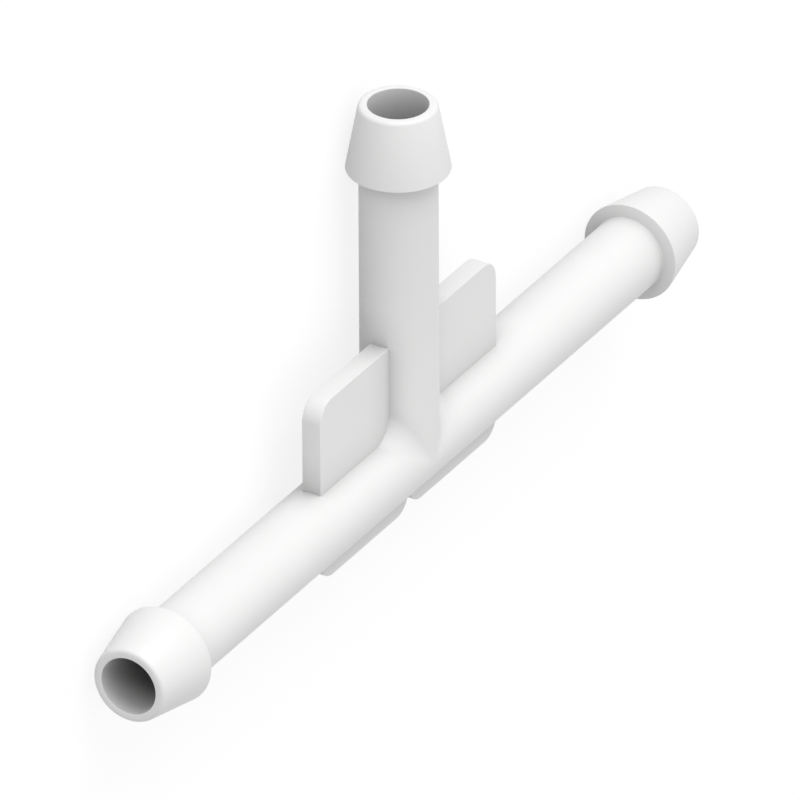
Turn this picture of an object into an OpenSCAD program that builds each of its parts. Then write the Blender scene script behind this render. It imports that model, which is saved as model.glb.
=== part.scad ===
// Barbed tee for flexible tubing, moulded in one piece of white plastic.
// The run lies along X and the branch points along +Y. The origin is where the two bore axes cross.
// The tee lies flat on its three barbs, with its webs level.

/* [Tubes] */
// Length of the straight run, from tip to tip
run_length = 60; // [48:0.5:100]
// Distance from the axis of the run to the tip of the branch
branch_reach = 22.5; // [16:0.25:50]
// Outside diameter of the smooth tube between the centre and each barb
tube_d = 4.5; // [4.2:0.1:5.4]
// Diameter of the bore through all three arms
bore_d = 3.5; // [2:0.1:3.8]
// Radius of the blend between branch and run
blend_r = 1.65; // [0.6:0.05:2]

/* [Hose barbs] */
// Largest diameter of the barb, at its shoulder
barb_d = 6; // [5.6:0.1:8]
// Length of the barb, from its tip to its shoulder
barb_length = 4; // [2:0.1:6]
// Outside diameter of the cone at the tip, before its edge is rounded
tip_d = 4.5; // [4.4:0.05:5.4]
// Rounding of the outer edge of the tip
tip_round = 0.25; // [0.05:0.01:0.3]

/* [Webs] */
// Thickness of the gussets and the fins
web_t = 1.2; // [0.6:0.1:2.4]
// Reach of the gussets and the fins along the run, from the axis of the branch
web_reach = 9.8; // [6:0.1:14]
// Height of the two gussets above the axis of the run
gusset_height = 7.95; // [5:0.05:12]
// Depth of the two fins below the axis of the run
fin_depth = 3.5; // [3.5:0.05:6]
// Gap between the inner ends of the two fins
fin_gap = 0.1; // [0.06:0.02:1]
// Rounding of the corners of the gussets and the fins
corner_r = 1.3; // [0.4:0.05:1.5]

/* [Hidden] */
$fn = 96;
tube_r = tube_d / 2;
bore_r = bore_d / 2;
tip_r = tip_d / 2;
barb_r = barb_d / 2;
half_run = run_length / 2;
// How far a cutting tool runs past the face that it cuts
overcut = 1;
// How much deeper than a true tangent the blend bites into both tubes
blend_bite = 0.01;
// The blend ends this far round the tubes, where it has sunk under their surfaces
blend_end_angle = 86;
// Steps of the blend round the tubes, and across its hollow
blend_stations = 32;
blend_steps = 10;
// Depth of the blend's inner edge, as a share of the tube radius
blend_root = 0.9;

// Half section of one arm's solid: the radius along x, the distance from the centre along y.
// The cone runs out to the shoulder, and a small circle rounds the edge of the flat tip.
module arm_section(reach) {
    slope = (barb_r - tip_r) / barb_length;
    slant = sqrt(1 + slope * slope);
    round_x = tip_r + tip_round * (slope - slant);
    square([tube_r, reach - barb_length / 2]);
    translate([0, reach])
        mirror([0, 1])
            union() {
                polygon([
                    [0, 0],
                    [round_x, 0],
                    [round_x + tip_round / slant, tip_round * (1 - slope / slant)],
                    [barb_r, barb_length],
                    [0, barb_length]
                ]);
                intersection() {
                    translate([round_x, tip_round])
                        circle(tip_round);
                    square([barb_r, tip_round]);
                }
            }
}

// One arm as a solid of revolution standing on the centre of the tee
module arm(reach) {
    rotate_extrude()
        arm_section(reach);
}

// Turns a shape that stands along Z to lie along the run, towards +X (side 1) or -X (side -1)
module along_run(side) {
    rotate([0, side * 90, 0])
        children();
}

// Turns a shape that stands along Z to lie along the branch, towards +Y
module along_branch() {
    rotate([-90, 0, 0])
        children();
}

// The bore straight through the run
module run_bore() {
    along_run(1)
        translate([0, 0, -half_run - overcut])
            cylinder(r = bore_r, h = run_length + 2 * overcut);
}

// The bore from the axis of the run out through the branch
module branch_bore() {
    along_branch()
        cylinder(r = bore_r, h = branch_reach + overcut);
}

// Centre of the ball that rolls in the corner between the two tubes, at an angle round the run
function ball_centre(angle) =
    (tube_r + blend_r) * [cos(angle), cos(angle), sin(angle)];

// Direction from the ball's centre towards the run (share 0) round to the branch (share 1)
function ball_direction(angle, share) =
    let (
        to_run = [0, -cos(angle), -sin(angle)],
        to_branch = [-cos(angle), 0, -sin(angle)],
        spread = acos(to_run * to_branch)
    )
    (sin((1 - share) * spread) * to_run + sin(share * spread) * to_branch) / sin(spread);

// One station of the blend: the hollow arc that the ball leaves, then the root inside both tubes
function blend_section(angle) = concat(
    [
        for (i = [0 : blend_steps])
            ball_centre(angle) + (blend_r + blend_bite) * ball_direction(angle, i / blend_steps)
    ],
    [blend_root * tube_r * [cos(angle), cos(angle), sin(angle)]]
);

// Fillet in one corner between branch and run, as the path of a ball that rolls against both tubes
module corner_blend() {
    ring = blend_steps + 2;
    points = [
        for (s = [0 : blend_stations])
            each blend_section(blend_end_angle * (2 * s / blend_stations - 1))
    ];
    walls = [
        for (s = [0 : blend_stations - 1], i = [0 : ring - 1])
            let (
                a = s * ring + i,
                b = s * ring + (i + 1) % ring
            )
            each [[a, b, a + ring], [b, b + ring, a + ring]]
    ];
    first_end = [for (i = [0 : blend_steps - 1]) [ring - 1, i + 1, i]];
    last = blend_stations * ring;
    last_end = [for (i = [0 : blend_steps - 1]) [last + ring - 1, last + i, last + i + 1]];
    polyhedron(points, concat(walls, first_end, last_end));
}

// What is cut away outside a rounded corner whose sharp point is at the origin
module corner_waste() {
    translate([-corner_r, -corner_r])
        difference() {
            square(corner_r + overcut);
            circle(corner_r);
        }
}

// Outline of one gusset, rising from the run's axis and beside the branch's axis
module gusset_outline() {
    difference() {
        square([web_reach, gusset_height]);
        translate([web_reach, gusset_height])
            corner_waste();
    }
}

// Outline of one fin, hanging from the run's axis, with both of its lower corners rounded
module fin_outline() {
    difference() {
        translate([fin_gap / 2, -fin_depth])
            square([web_reach - fin_gap / 2, fin_depth]);
        translate([web_reach, -fin_depth])
            mirror([0, 1])
                corner_waste();
        translate([fin_gap / 2, -fin_depth])
            rotate(180)
                corner_waste();
    }
}

// The flat webs in the plane of the tee: a gusset and a fin on each side of the branch
module webs() {
    for (side = [0, 1])
        mirror([side, 0, 0])
            translate([0, 0, -web_t / 2])
                linear_extrude(web_t) {
                    gusset_outline();
                    fin_outline();
                }
}

// The whole moulding: three barbed arms, the blends and the webs, with the bores cut last
module tee_fitting() {
    color("whitesmoke")
        difference() {
            union() {
                for (side = [-1, 1])
                    along_run(side)
                        arm(half_run);
                along_branch()
                    arm(branch_reach);
                for (side = [0, 1])
                    mirror([side, 0, 0])
                        corner_blend();
                webs();
            }
            run_bore();
            branch_bore();
        }
}

tee_fitting();
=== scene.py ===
"""A barbed tee for flexible tubing, moulded in white plastic, lying on its three barbs on a pale floor."""
import math

import bpy
from mathutils import Matrix, Vector


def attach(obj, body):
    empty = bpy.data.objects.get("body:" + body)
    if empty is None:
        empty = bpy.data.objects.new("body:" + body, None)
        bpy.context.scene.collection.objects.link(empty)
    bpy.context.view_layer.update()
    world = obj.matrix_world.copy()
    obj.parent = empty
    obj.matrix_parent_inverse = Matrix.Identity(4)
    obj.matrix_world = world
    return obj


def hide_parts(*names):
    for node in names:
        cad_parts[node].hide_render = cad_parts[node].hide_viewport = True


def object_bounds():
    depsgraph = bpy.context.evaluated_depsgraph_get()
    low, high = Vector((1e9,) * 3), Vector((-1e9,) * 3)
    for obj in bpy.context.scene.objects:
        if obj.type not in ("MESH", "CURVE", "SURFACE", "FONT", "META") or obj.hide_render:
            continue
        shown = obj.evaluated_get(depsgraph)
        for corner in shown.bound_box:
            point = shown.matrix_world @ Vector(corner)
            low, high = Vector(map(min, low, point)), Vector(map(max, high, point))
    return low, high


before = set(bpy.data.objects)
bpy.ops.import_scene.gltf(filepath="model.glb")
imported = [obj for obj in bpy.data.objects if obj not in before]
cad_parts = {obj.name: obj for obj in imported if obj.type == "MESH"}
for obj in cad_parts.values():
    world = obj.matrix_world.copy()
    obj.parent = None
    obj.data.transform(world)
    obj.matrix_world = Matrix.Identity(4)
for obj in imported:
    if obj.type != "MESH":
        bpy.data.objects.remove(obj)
cad_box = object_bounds()
scene = bpy.context.scene


# Tee fitting
# One moulding of white plastic, about 60 mm long, that joins three flexible hoses. The mould parts along the
# plane of the tee, and cores pulled out of the three ends leave the bores that meet at its centre.

millimetre = 0.001
run_end, branch_tip, barb_top = (round(reach / millimetre, 3) for reach in cad_box[1])
fin_bottom = round(cad_box[0][1] / millimetre, 3)

# In millimetres. The face of a shoulder runs back towards the centre by its lean, from its rim to its foot.
# The webs start at their root, inside the walls of the tubes.
tee_sizes = {
    "Half run": run_end,
    "Branch reach": branch_tip,
    "Tube radius": 2.25,
    "Bore radius": 1.75,
    "Blend radius": 1.65,
    "Barb radius": barb_top,
    "Barb length": 4.06,
    "Shoulder lean": 0.15,
    "Tip radius": 2.25,
    "Tip rounding": 0.25,
    "Foot rounding": 0.06,
    "Shoulder rounding": 0.05,
    "Mouth rounding": 0.04,
    "Web thickness": 1.2,
    "Web reach": 9.8,
    "Web root": 2.0,
    "Gusset height": 7.95,
    "Fin depth": -fin_bottom,
    "Fin gap": 0.1,
    "Corner radius": 1.3,
    "Rim rounding": 0.045,
}
tee_steps = {
    "Facets round": 192,
    "Blend steps": 12,
    "Corner steps": 12,
    "Rounding steps": 4,
}


class Reading:
    """A number in a tree of nodes, so that a formula made of nodes reads as it would on paper."""

    def __init__(self, socket):
        self.socket = socket

    def calculate(self, operation, *others):
        made = self.socket.node.id_data.nodes.new("ShaderNodeMath")
        made.operation = operation
        for place, value in zip(made.inputs, (self, *others)):
            connect(value, place)
        return Reading(made.outputs[0])

    def __add__(self, other):
        return self.calculate("ADD", other)

    def __sub__(self, other):
        return self.calculate("SUBTRACT", other)

    def __mul__(self, other):
        return self.calculate("MULTIPLY", other)

    def __truediv__(self, other):
        return self.calculate("DIVIDE", other)

    def __neg__(self):
        return self * -1.0


def connect(value, place):
    """Feeds a socket with a reading, another socket or a plain value."""
    if isinstance(value, Reading):
        value = value.socket
    if isinstance(value, bpy.types.NodeSocket):
        place.id_data.links.new(value, place)
    else:
        place.default_value = value


def node(tree, kind, places=None, **options):
    """Adds a node with its options set and its named sockets fed, and returns its first output."""
    made = tree.nodes.new(kind)
    for name, value in options.items():
        setattr(made, name, value)
    for name, value in (places or {}).items():
        connect(value, made.inputs[name])
    return made.outputs[0]


def point(tree, x=0.0, y=0.0, z=0.0):
    """A vector made of three readings or numbers."""
    return node(tree, "ShaderNodeCombineXYZ", {"X": x, "Y": y, "Z": z})


def coordinates(tree, vector=None):
    """The x, y and z of a vector, or of each point's position."""
    made = tree.nodes.new("ShaderNodeSeparateXYZ")
    connect(vector or node(tree, "GeometryNodeInputPosition"), made.inputs[0])
    return [Reading(output) for output in made.outputs]


def one_of(tree, kind, values):
    """The value that a point takes by its place in the order of its line."""
    made = tree.nodes.new("GeometryNodeIndexSwitch")
    made.data_type = kind
    while len(made.index_switch_items) < len(values):
        made.index_switch_items.new()
    connect(node(tree, "GeometryNodeInputIndex"), made.inputs["Index"])
    for place, value in zip(made.inputs[1:], values):
        connect(value, place)
    return made.outputs[0]


def new_tree(name, lengths, counts, gives):
    """A tree of geometry nodes with named inputs. Returns it, a reading of each input, and its end."""
    tree = bpy.data.node_groups.new(name, "GeometryNodeTree")
    for label in lengths:
        tree.interface.new_socket(label, in_out="INPUT", socket_type="NodeSocketFloat")
    for label in counts:
        tree.interface.new_socket(label, in_out="INPUT", socket_type="NodeSocketInt")
    tree.interface.new_socket(gives, in_out="OUTPUT", socket_type="NodeSocketGeometry")
    start = tree.nodes.new("NodeGroupInput")
    readings = {output.name: Reading(output) for output in start.outputs if output.name}
    return tree, readings, tree.nodes.new("NodeGroupOutput").inputs[gives]


def turned(tree, geometry, x=0.0, y=0.0):
    """The geometry turned about the X axis or the Y axis, by degrees."""
    return node(tree, "GeometryNodeTransform", {
        "Geometry": geometry, "Rotation": (math.radians(x), math.radians(y), 0.0),
    })


def joined(tree, parts):
    """Several pieces of geometry as one."""
    made = tree.nodes.new("GeometryNodeJoinGeometry")
    for part in parts:
        tree.links.new(part, made.inputs[0])
    return made.outputs[0]


arm_lengths = (
    "Tube radius", "Bore radius", "Barb radius", "Barb length", "Shoulder lean", "Tip radius",
    "Tip rounding", "Foot rounding", "Shoulder rounding", "Mouth rounding",
)
arm_steps = ("Facets round", "Rounding steps")


def hose_arm_tree():
    """One arm as a lathe would turn it, hanging straight down from the centre of the tee. Its half section
    runs out along the skin and back along the bore."""
    tree, size, end = new_tree("Hose arm", ("Reach", *arm_lengths), arm_steps, "Arm")
    shoulder = size["Reach"] - size["Barb length"]
    corners = [
        (size["Tube radius"], 0.0, 0.0),
        (size["Tube radius"], shoulder - size["Shoulder lean"], size["Foot rounding"]),
        (size["Barb radius"], shoulder, size["Shoulder rounding"]),
        (size["Tip radius"], size["Reach"], size["Tip rounding"]),
        (size["Bore radius"], size["Reach"], size["Mouth rounding"]),
        (size["Bore radius"], 0.0, 0.0),
    ]
    places = [point(tree, radius - size["Tube radius"], along) for radius, along, rounding in corners]
    line = node(tree, "GeometryNodeSetPosition", {
        "Geometry": node(tree, "GeometryNodeMeshLine", {"Count": len(corners)}),
        "Position": one_of(tree, "VECTOR", places),
    })
    section = node(tree, "GeometryNodeFilletCurve", {
        "Curve": node(tree, "GeometryNodeMeshToCurve", {"Mesh": line}),
        "Radius": one_of(tree, "FLOAT", [rounding for radius, along, rounding in corners]),
        "Count": size["Rounding steps"],
        "Limit Radius": True,
    }, mode="POLY")
    circle = node(tree, "GeometryNodeCurvePrimitiveCircle", {
        "Resolution": size["Facets round"], "Radius": size["Tube radius"],
    })
    connect(node(tree, "GeometryNodeCurveToMesh", {"Curve": circle, "Profile Curve": section}), end)
    return tree


web_lengths = (
    "Thickness", "Left", "Right", "Bottom", "Top",
    "Lower left", "Lower right", "Upper right", "Rim rounding",
)
web_steps = ("Corner steps", "Rounding steps")


def flat_web_tree():
    """A flat web: a rectangle with rounded corners, drawn up through its thickness, with rounded rims."""
    tree, size, end = new_tree("Flat web", web_lengths, web_steps, "Web")
    outline = node(tree, "GeometryNodeCurvePrimitiveQuadrilateral", {
        "Point 1": point(tree, size["Left"], size["Bottom"]),
        "Point 2": point(tree, size["Right"], size["Bottom"]),
        "Point 3": point(tree, size["Right"], size["Top"]),
        "Point 4": point(tree, size["Left"], size["Top"]),
    }, mode="POINTS")
    corner_radii = [size["Lower left"], size["Lower right"], size["Upper right"], 0.0]
    outline = node(tree, "GeometryNodeFilletCurve", {
        "Curve": outline,
        "Radius": one_of(tree, "FLOAT", corner_radii),
        "Count": size["Corner steps"],
        "Limit Radius": True,
    }, mode="POLY")

    steps = size["Rounding steps"]
    rim = size["Rim rounding"]
    flat_height = size["Thickness"] * 0.5 - rim
    index = Reading(node(tree, "GeometryNodeInputIndex"))
    from_end = index.calculate("MINIMUM", steps * 2.0 + 1.0 - index)
    side = (index - steps - 0.5).calculate("SIGN")
    height = side * (flat_height + rim * (from_end / steps * (math.pi / 2)).calculate("COSINE"))
    layers = node(tree, "GeometryNodeMeshLine", {"Count": steps * 2.0 + 2.0})
    layers = node(tree, "GeometryNodeSetPosition", {"Geometry": layers, "Position": point(tree, z=height)})
    block = node(tree, "GeometryNodeCurveToMesh", {
        "Curve": node(tree, "GeometryNodeMeshToCurve", {"Mesh": layers}),
        "Profile Curve": outline,
        "Fill Caps": True,
    })

    x, y, z = coordinates(tree)
    into_rim = (z.calculate("ABSOLUTE") - flat_height).calculate("MAXIMUM", 0.0)
    pull = rim - (rim * rim - into_rim * into_rim).calculate("MAXIMUM", 0.0).calculate("SQRT")
    middle_x = (size["Left"] + size["Right"]) * 0.5
    middle_y = (size["Bottom"] + size["Top"]) * 0.5
    half_x = size["Right"] - middle_x
    half_y = size["Top"] - middle_y
    shrunk = point(
        tree,
        middle_x + (x - middle_x) * (half_x - pull) / half_x,
        middle_y + (y - middle_y) * (half_y - pull) / half_y,
        z,
    )
    connect(node(tree, "GeometryNodeSetPosition", {"Geometry": block, "Position": shrunk}), end)
    return tree


def tee_tree():
    """The whole moulding: three arms met at the centre, a rolled blend in each corner, and the four webs."""
    tree, size, end = new_tree("Tee moulding", tee_sizes, tee_steps, "Tee")
    tree.interface.new_socket("Plastic", in_out="INPUT", socket_type="NodeSocketMaterial")
    plastic = tree.nodes["Group Input"].outputs["Plastic"]
    arm_group, web_group = hose_arm_tree(), flat_web_tree()
    # In millimetres: how near the centre's plane an arm's inner rings lie, and how near points are welded
    at_centre, weld = 0.0001, 0.0005
    crease = math.radians(35)

    def group(inner, places):
        """The result of a smaller tree, with its inputs fed."""
        made = tree.nodes.new("GeometryNodeGroup")
        made.node_tree = inner
        for label, value in places.items():
            connect(value, made.inputs[label])
        return made.outputs[0]

    def arm(reach):
        """An arm of the tee's own sizes and a given reach."""
        own = {label: size[label] for label in (*arm_lengths, *arm_steps)}
        return group(arm_group, {"Reach": reach, **own})

    def web(left, right, bottom, top, lower_left=0.0, lower_right=0.0, upper_right=0.0):
        """A web between four sides, with the radius of each corner that is rounded."""
        return group(web_group, {
            "Thickness": size["Web thickness"],
            "Left": left, "Right": right, "Bottom": bottom, "Top": top,
            "Lower left": lower_left, "Lower right": lower_right, "Upper right": upper_right,
            "Rim rounding": size["Rim rounding"],
            "Corner steps": size["Corner steps"], "Rounding steps": size["Rounding steps"],
        })

    def cut_at_centre(arm_geometry, start, across):
        """Moves an arm's two inner rings to where its skin and its bore meet those of the others."""
        x, y, z = coordinates(tree)
        ring = (x if start == "X" else y).calculate("LESS_THAN", at_centre)
        middle_of_wall = (size["Tube radius"] + size["Bore radius"]) * 0.5
        outside = (x * x + y * y + z * z).calculate("SQRT").calculate("GREATER_THAN", middle_of_wall)
        share = (size["Blend radius"] / size["Tube radius"]) * outside + 1.0
        meeting = across(x, y) * share
        place = point(tree, meeting, y, z) if start == "X" else point(tree, x, meeting, z)
        return node(tree, "GeometryNodeSetPosition", {
            "Geometry": arm_geometry, "Selection": ring.socket, "Position": place,
        })

    run_arm = cut_at_centre(
        turned(tree, arm(size["Half run"]), y=-90), "X", lambda x, y: y.calculate("MAXIMUM", 0.0))
    branch_arm = cut_at_centre(
        turned(tree, arm(size["Branch reach"]), x=90), "Y", lambda x, y: x.calculate("ABSOLUTE"))

    strip = node(tree, "GeometryNodeMeshGrid", {
        "Size X": 1.0, "Size Y": 1.0,
        "Vertices X": size["Blend steps"] + 1.0, "Vertices Y": size["Facets round"] * 0.5 + 1.0,
    })
    across, round_run = coordinates(tree)[:2]
    share = across + 0.5
    cosine = (round_run * math.pi).calculate("COSINE")
    sine = (round_run * math.pi).calculate("SINE")
    ball = size["Tube radius"] + size["Blend radius"]
    towards = node(tree, "ShaderNodeVectorMath", {
        0: point(tree, -cosine * share, -cosine * (-share + 1.0), -sine),
    }, operation="NORMALIZE")
    way_x, way_y, way_z = coordinates(tree, towards)
    blend = node(tree, "GeometryNodeSetPosition", {"Geometry": strip, "Position": point(
        tree,
        ball * cosine + size["Blend radius"] * way_x,
        ball * cosine + size["Blend radius"] * way_y,
        ball * sine + size["Blend radius"] * way_z,
    )})

    half = joined(tree, [run_arm, blend])
    shell = node(tree, "GeometryNodeMergeByDistance", {
        "Geometry": joined(tree, [half, turned(tree, half, y=180), branch_arm]),
        "Distance": weld,
    })

    gusset = web(
        size["Web root"], size["Web reach"], size["Web root"], size["Gusset height"],
        upper_right=size["Corner radius"])
    fin = web(
        size["Fin gap"] * 0.5, size["Web reach"], -size["Fin depth"], -size["Web root"],
        lower_left=size["Corner radius"], lower_right=size["Corner radius"])
    webs = joined(tree, [gusset, fin])
    webs = joined(tree, [webs, turned(tree, webs, y=180)])

    union = tree.nodes.new("GeometryNodeMeshBoolean")
    union.operation = "UNION"
    union.solver = "EXACT"
    tree.links.new(shell, union.inputs["Mesh 2"])
    tree.links.new(webs, union.inputs["Mesh 2"])

    fold = Reading(node(tree, "GeometryNodeInputMeshEdgeAngle")).calculate("GREATER_THAN", crease)
    smooth = node(tree, "GeometryNodeSetShadeSmooth", {"Geometry": union.outputs[0], "Shade Smooth": True})
    creased = node(tree, "GeometryNodeSetShadeSmooth", {
        "Geometry": smooth, "Selection": fold, "Shade Smooth": False}, domain="EDGE")
    in_metres = node(tree, "GeometryNodeTransform", {"Geometry": creased, "Scale": (millimetre,) * 3})
    finished = node(tree, "GeometryNodeRealizeInstances", {"Geometry": in_metres})
    connect(node(tree, "GeometryNodeSetMaterial", {"Geometry": finished, "Material": plastic}), end)
    return tree


def bore_depth(tree, place):
    """How deep inside its bore a point lies, in metres from the mouth, and 0 outside."""
    x, y, z = coordinates(tree, place)
    # The bore's own wall has to count as inside
    into_wall = 0.01
    wall = (tee_sizes["Bore radius"] + into_wall) * millimetre
    in_run = (y * y + z * z).calculate("SQRT").calculate("LESS_THAN", wall)
    near_branch_axis = (x * x + z * z).calculate("SQRT").calculate("LESS_THAN", wall)
    in_branch = near_branch_axis * y.calculate("GREATER_THAN", 0.0)
    run_depth = -x.calculate("ABSOLUTE") + tee_sizes["Half run"] * millimetre
    branch_depth = -y + tee_sizes["Branch reach"] * millimetre
    return (in_run * run_depth).calculate("MAXIMUM", in_branch * branch_depth)


def mixed(tree, share, first, second, way="MIX"):
    """Two colours mixed by a share, or the first one multiplied by the second."""
    made = tree.nodes.new("ShaderNodeMix")
    made.data_type = "RGBA"
    made.blend_type = way
    for place, value in zip((0, 6, 7), (share, first, second)):
        connect(value, made.inputs[place])
    return made.outputs[2]


plastic_tones = ((0.80, 0.80, 0.797, 1.0), (0.83, 0.83, 0.827, 1.0))
least_roughness, most_roughness = 0.38, 0.48
clouds_per_metre, grains_per_metre = 260.0, 9000.0
grain_height = 0.01 * millimetre

# The painted shade of a bore starts at the edge of its mouth and is deepest a little further in
mouth_edge, deepest_painted_shade = 0.05 * millimetre, 3.5 * millimetre
painted_shade_at_mouth, painted_shade_deep_in_bore = 0.93, 0.36

# A corner gets painted shade the more the tee closes it in, within this reach and down to a least openness
corner_reach = 2.5 * millimetre
least_open = 0.40
painted_shade_in_corner = 0.55


def white_plastic():
    """Satin white plastic as it leaves a fine-ground mould, with a faint grain and slightly uneven gloss.
    The bores have painted shade, darker further in, and so do the tight corners."""
    material = bpy.data.materials.new("white_plastic")
    material.use_nodes = True
    tree = material.node_tree
    surface = tree.nodes["Principled BSDF"].inputs
    place = tree.nodes.new("ShaderNodeTexCoord").outputs["Object"]
    cloud = node(tree, "ShaderNodeTexNoise", {"Vector": place, "Scale": clouds_per_metre, "Detail": 3.0})
    grain = node(tree, "ShaderNodeTexNoise", {"Vector": place, "Scale": grains_per_metre, "Detail": 2.0})

    # Painted shade: the colour of a bore's wall darkens the deeper a point lies in it
    depth = bore_depth(tree, place)
    painted_bore_shade = node(tree, "ShaderNodeMapRange", {
        "Value": depth, "From Max": deepest_painted_shade, "To Min": painted_shade_at_mouth, "To Max": painted_shade_deep_in_bore,
    })
    # Painted shade: ambient occlusion darkens the colour in the tight corners
    corner = tree.nodes.new("ShaderNodeAmbientOcclusion")
    corner.only_local = True
    corner.inputs["Distance"].default_value = corner_reach
    painted_corner_shade = node(tree, "ShaderNodeMapRange", {
        "Value": corner.outputs["AO"], "From Min": least_open, "To Min": painted_shade_in_corner,
    })
    colour = mixed(tree, cloud, *plastic_tones)
    colour = mixed(tree, depth.calculate("GREATER_THAN", mouth_edge), colour, painted_bore_shade, "MULTIPLY")
    connect(mixed(tree, 1.0, colour, painted_corner_shade, "MULTIPLY"), surface["Base Color"])

    roughness = node(tree, "ShaderNodeMapRange", {
        "Value": cloud, "To Min": least_roughness, "To Max": most_roughness,
    })
    connect(roughness, surface["Roughness"])
    bumps = node(tree, "ShaderNodeBump", {"Strength": 0.25, "Distance": grain_height, "Height": grain})
    connect(bumps, surface["Normal"])
    surface["IOR"].default_value = 1.5
    return material


maker = bpy.data.objects.new("tee_maker", bpy.data.meshes.new("tee_maker"))
scene.collection.objects.link(maker)
modifier = maker.modifiers.new("Tee moulding", "NODES")
modifier.node_group = tee_tree()
tee_inputs = {**tee_sizes, **tee_steps, "Plastic": white_plastic()}
for item in modifier.node_group.interface.items_tree:
    if item.in_out == "INPUT":
        modifier[item.identifier] = tee_inputs[item.name]
shape = bpy.data.meshes.new_from_object(maker.evaluated_get(bpy.context.evaluated_depsgraph_get()))
bpy.data.objects.remove(maker)

shape.name = "tee_moulding"
tee = bpy.data.objects.new("tee_moulding", shape)
scene.collection.objects.link(tee)
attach(tee, "root")
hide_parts("tee_fitting")


# Floor
# A matt white sheet under the tee. To the camera it glows just enough to come out white, as in a picture cut
# out on white, and it still takes the tee's shadow.

floor_level = cad_box[0][2]
floor_half = 3.0
paper_grey = (0.60, 0.60, 0.60, 1.0)
paper_grey_seen = (0.25, 0.25, 0.25, 1.0)
paper_glow = 0.80
floor_shape = bpy.data.meshes.new("floor")
floor_shape.from_pydata(
    [(x * floor_half, y * floor_half, floor_level) for x, y in ((-1, -1), (1, -1), (1, 1), (-1, 1))],
    [], [(0, 1, 2, 3)])
floor = bpy.data.objects.new("floor", floor_shape)
scene.collection.objects.link(floor)


def seen_by_eye(tree):
    """1 for what the camera sees, straight or in a shine or through a clear body, and 0 for light."""
    path = tree.nodes.new("ShaderNodeLightPath").outputs
    straight = Reading(path["Is Camera Ray"])
    in_shine = straight.calculate("MAXIMUM", path["Is Glossy Ray"])
    return in_shine.calculate("MAXIMUM", path["Is Transmission Ray"])


paper = bpy.data.materials.new("floor_paper")
paper.use_nodes = True
paper_surface = paper.node_tree.nodes["Principled BSDF"].inputs
paper_surface["Roughness"].default_value = 0.9
paper_surface["Specular IOR Level"].default_value = 0.0
paper_surface["Emission Color"].default_value = (1.0, 1.0, 1.0, 1.0)
eye = seen_by_eye(paper.node_tree)
connect(mixed(paper.node_tree, eye, paper_grey, paper_grey_seen), paper_surface["Base Color"])
connect(eye * paper_glow, paper_surface["Emission Strength"])
floor_shape.materials.append(paper)


# Light
# The even light of a white room, with one broad soft lamp on the side that the branch points to, and a
# smaller and weaker one to its left for the ends that face that way.

room = bpy.data.worlds.new("white_room")
room.use_nodes = True
scene.world = room
room_light = 0.70
glow = room.node_tree.nodes["Background"]
glow.inputs["Color"].default_value = (1.0, 1.0, 1.0, 1.0)
strength = room.node_tree.nodes.new("ShaderNodeMix")
strength.inputs[2].default_value = room_light
strength.inputs[3].default_value = 1.0
connect(seen_by_eye(room.node_tree), strength.inputs[0])
connect(strength.outputs[0], glow.inputs["Strength"])

lamp_distance = 1.2


def soft_lamp(name, direction, side, power):
    """A square lamp that faces the tee from a direction."""
    lamp = bpy.data.lights.new(name, "AREA")
    lamp.shape = "SQUARE"
    lamp.size = side
    lamp.energy = power
    made = bpy.data.objects.new(name, lamp)
    made.location = Vector(direction).normalized() * lamp_distance
    made.rotation_euler = Vector(direction).to_track_quat("Z", "Y").to_euler()
    scene.collection.objects.link(made)


soft_lamp("branch_side_lamp", (0.0, 1.0, 0.3), side=0.9, power=8.1)
soft_lamp("left_lamp", (-0.7, 1.0, 0.25), side=0.4, power=1.8)


# Camera
# It looks over the tip of the left run barb, from far off through a very long lens, so that the view is
# nearly a parallel one. The tee lies flat, and the camera is turned so that its branch points up the frame.

frame_width = 0.045
lens = 1650.0
film = 36.0
to_camera = Vector((-0.74621, 0.50157, 0.43772)).normalized()
frame_up = Vector((0.43521, 0.86511, -0.24936)).normalized()
frame_right = frame_up.cross(to_camera)
frame_middle = Vector((0.0012588, 0.0024914, -0.0007089))

camera = bpy.data.cameras.new("camera")
camera.lens = lens
camera.sensor_width = film
camera.clip_start = 0.1
camera.clip_end = 20.0
camera_object = bpy.data.objects.new("camera", camera)
turn = Matrix((frame_right, frame_up, to_camera)).transposed()
stand = frame_middle + to_camera * (frame_width * lens / film)
camera_object.matrix_world = Matrix.Translation(stand) @ turn.to_4x4()
scene.collection.objects.link(camera_object)
scene.camera = camera_object

scene.view_settings.view_transform = "Standard"
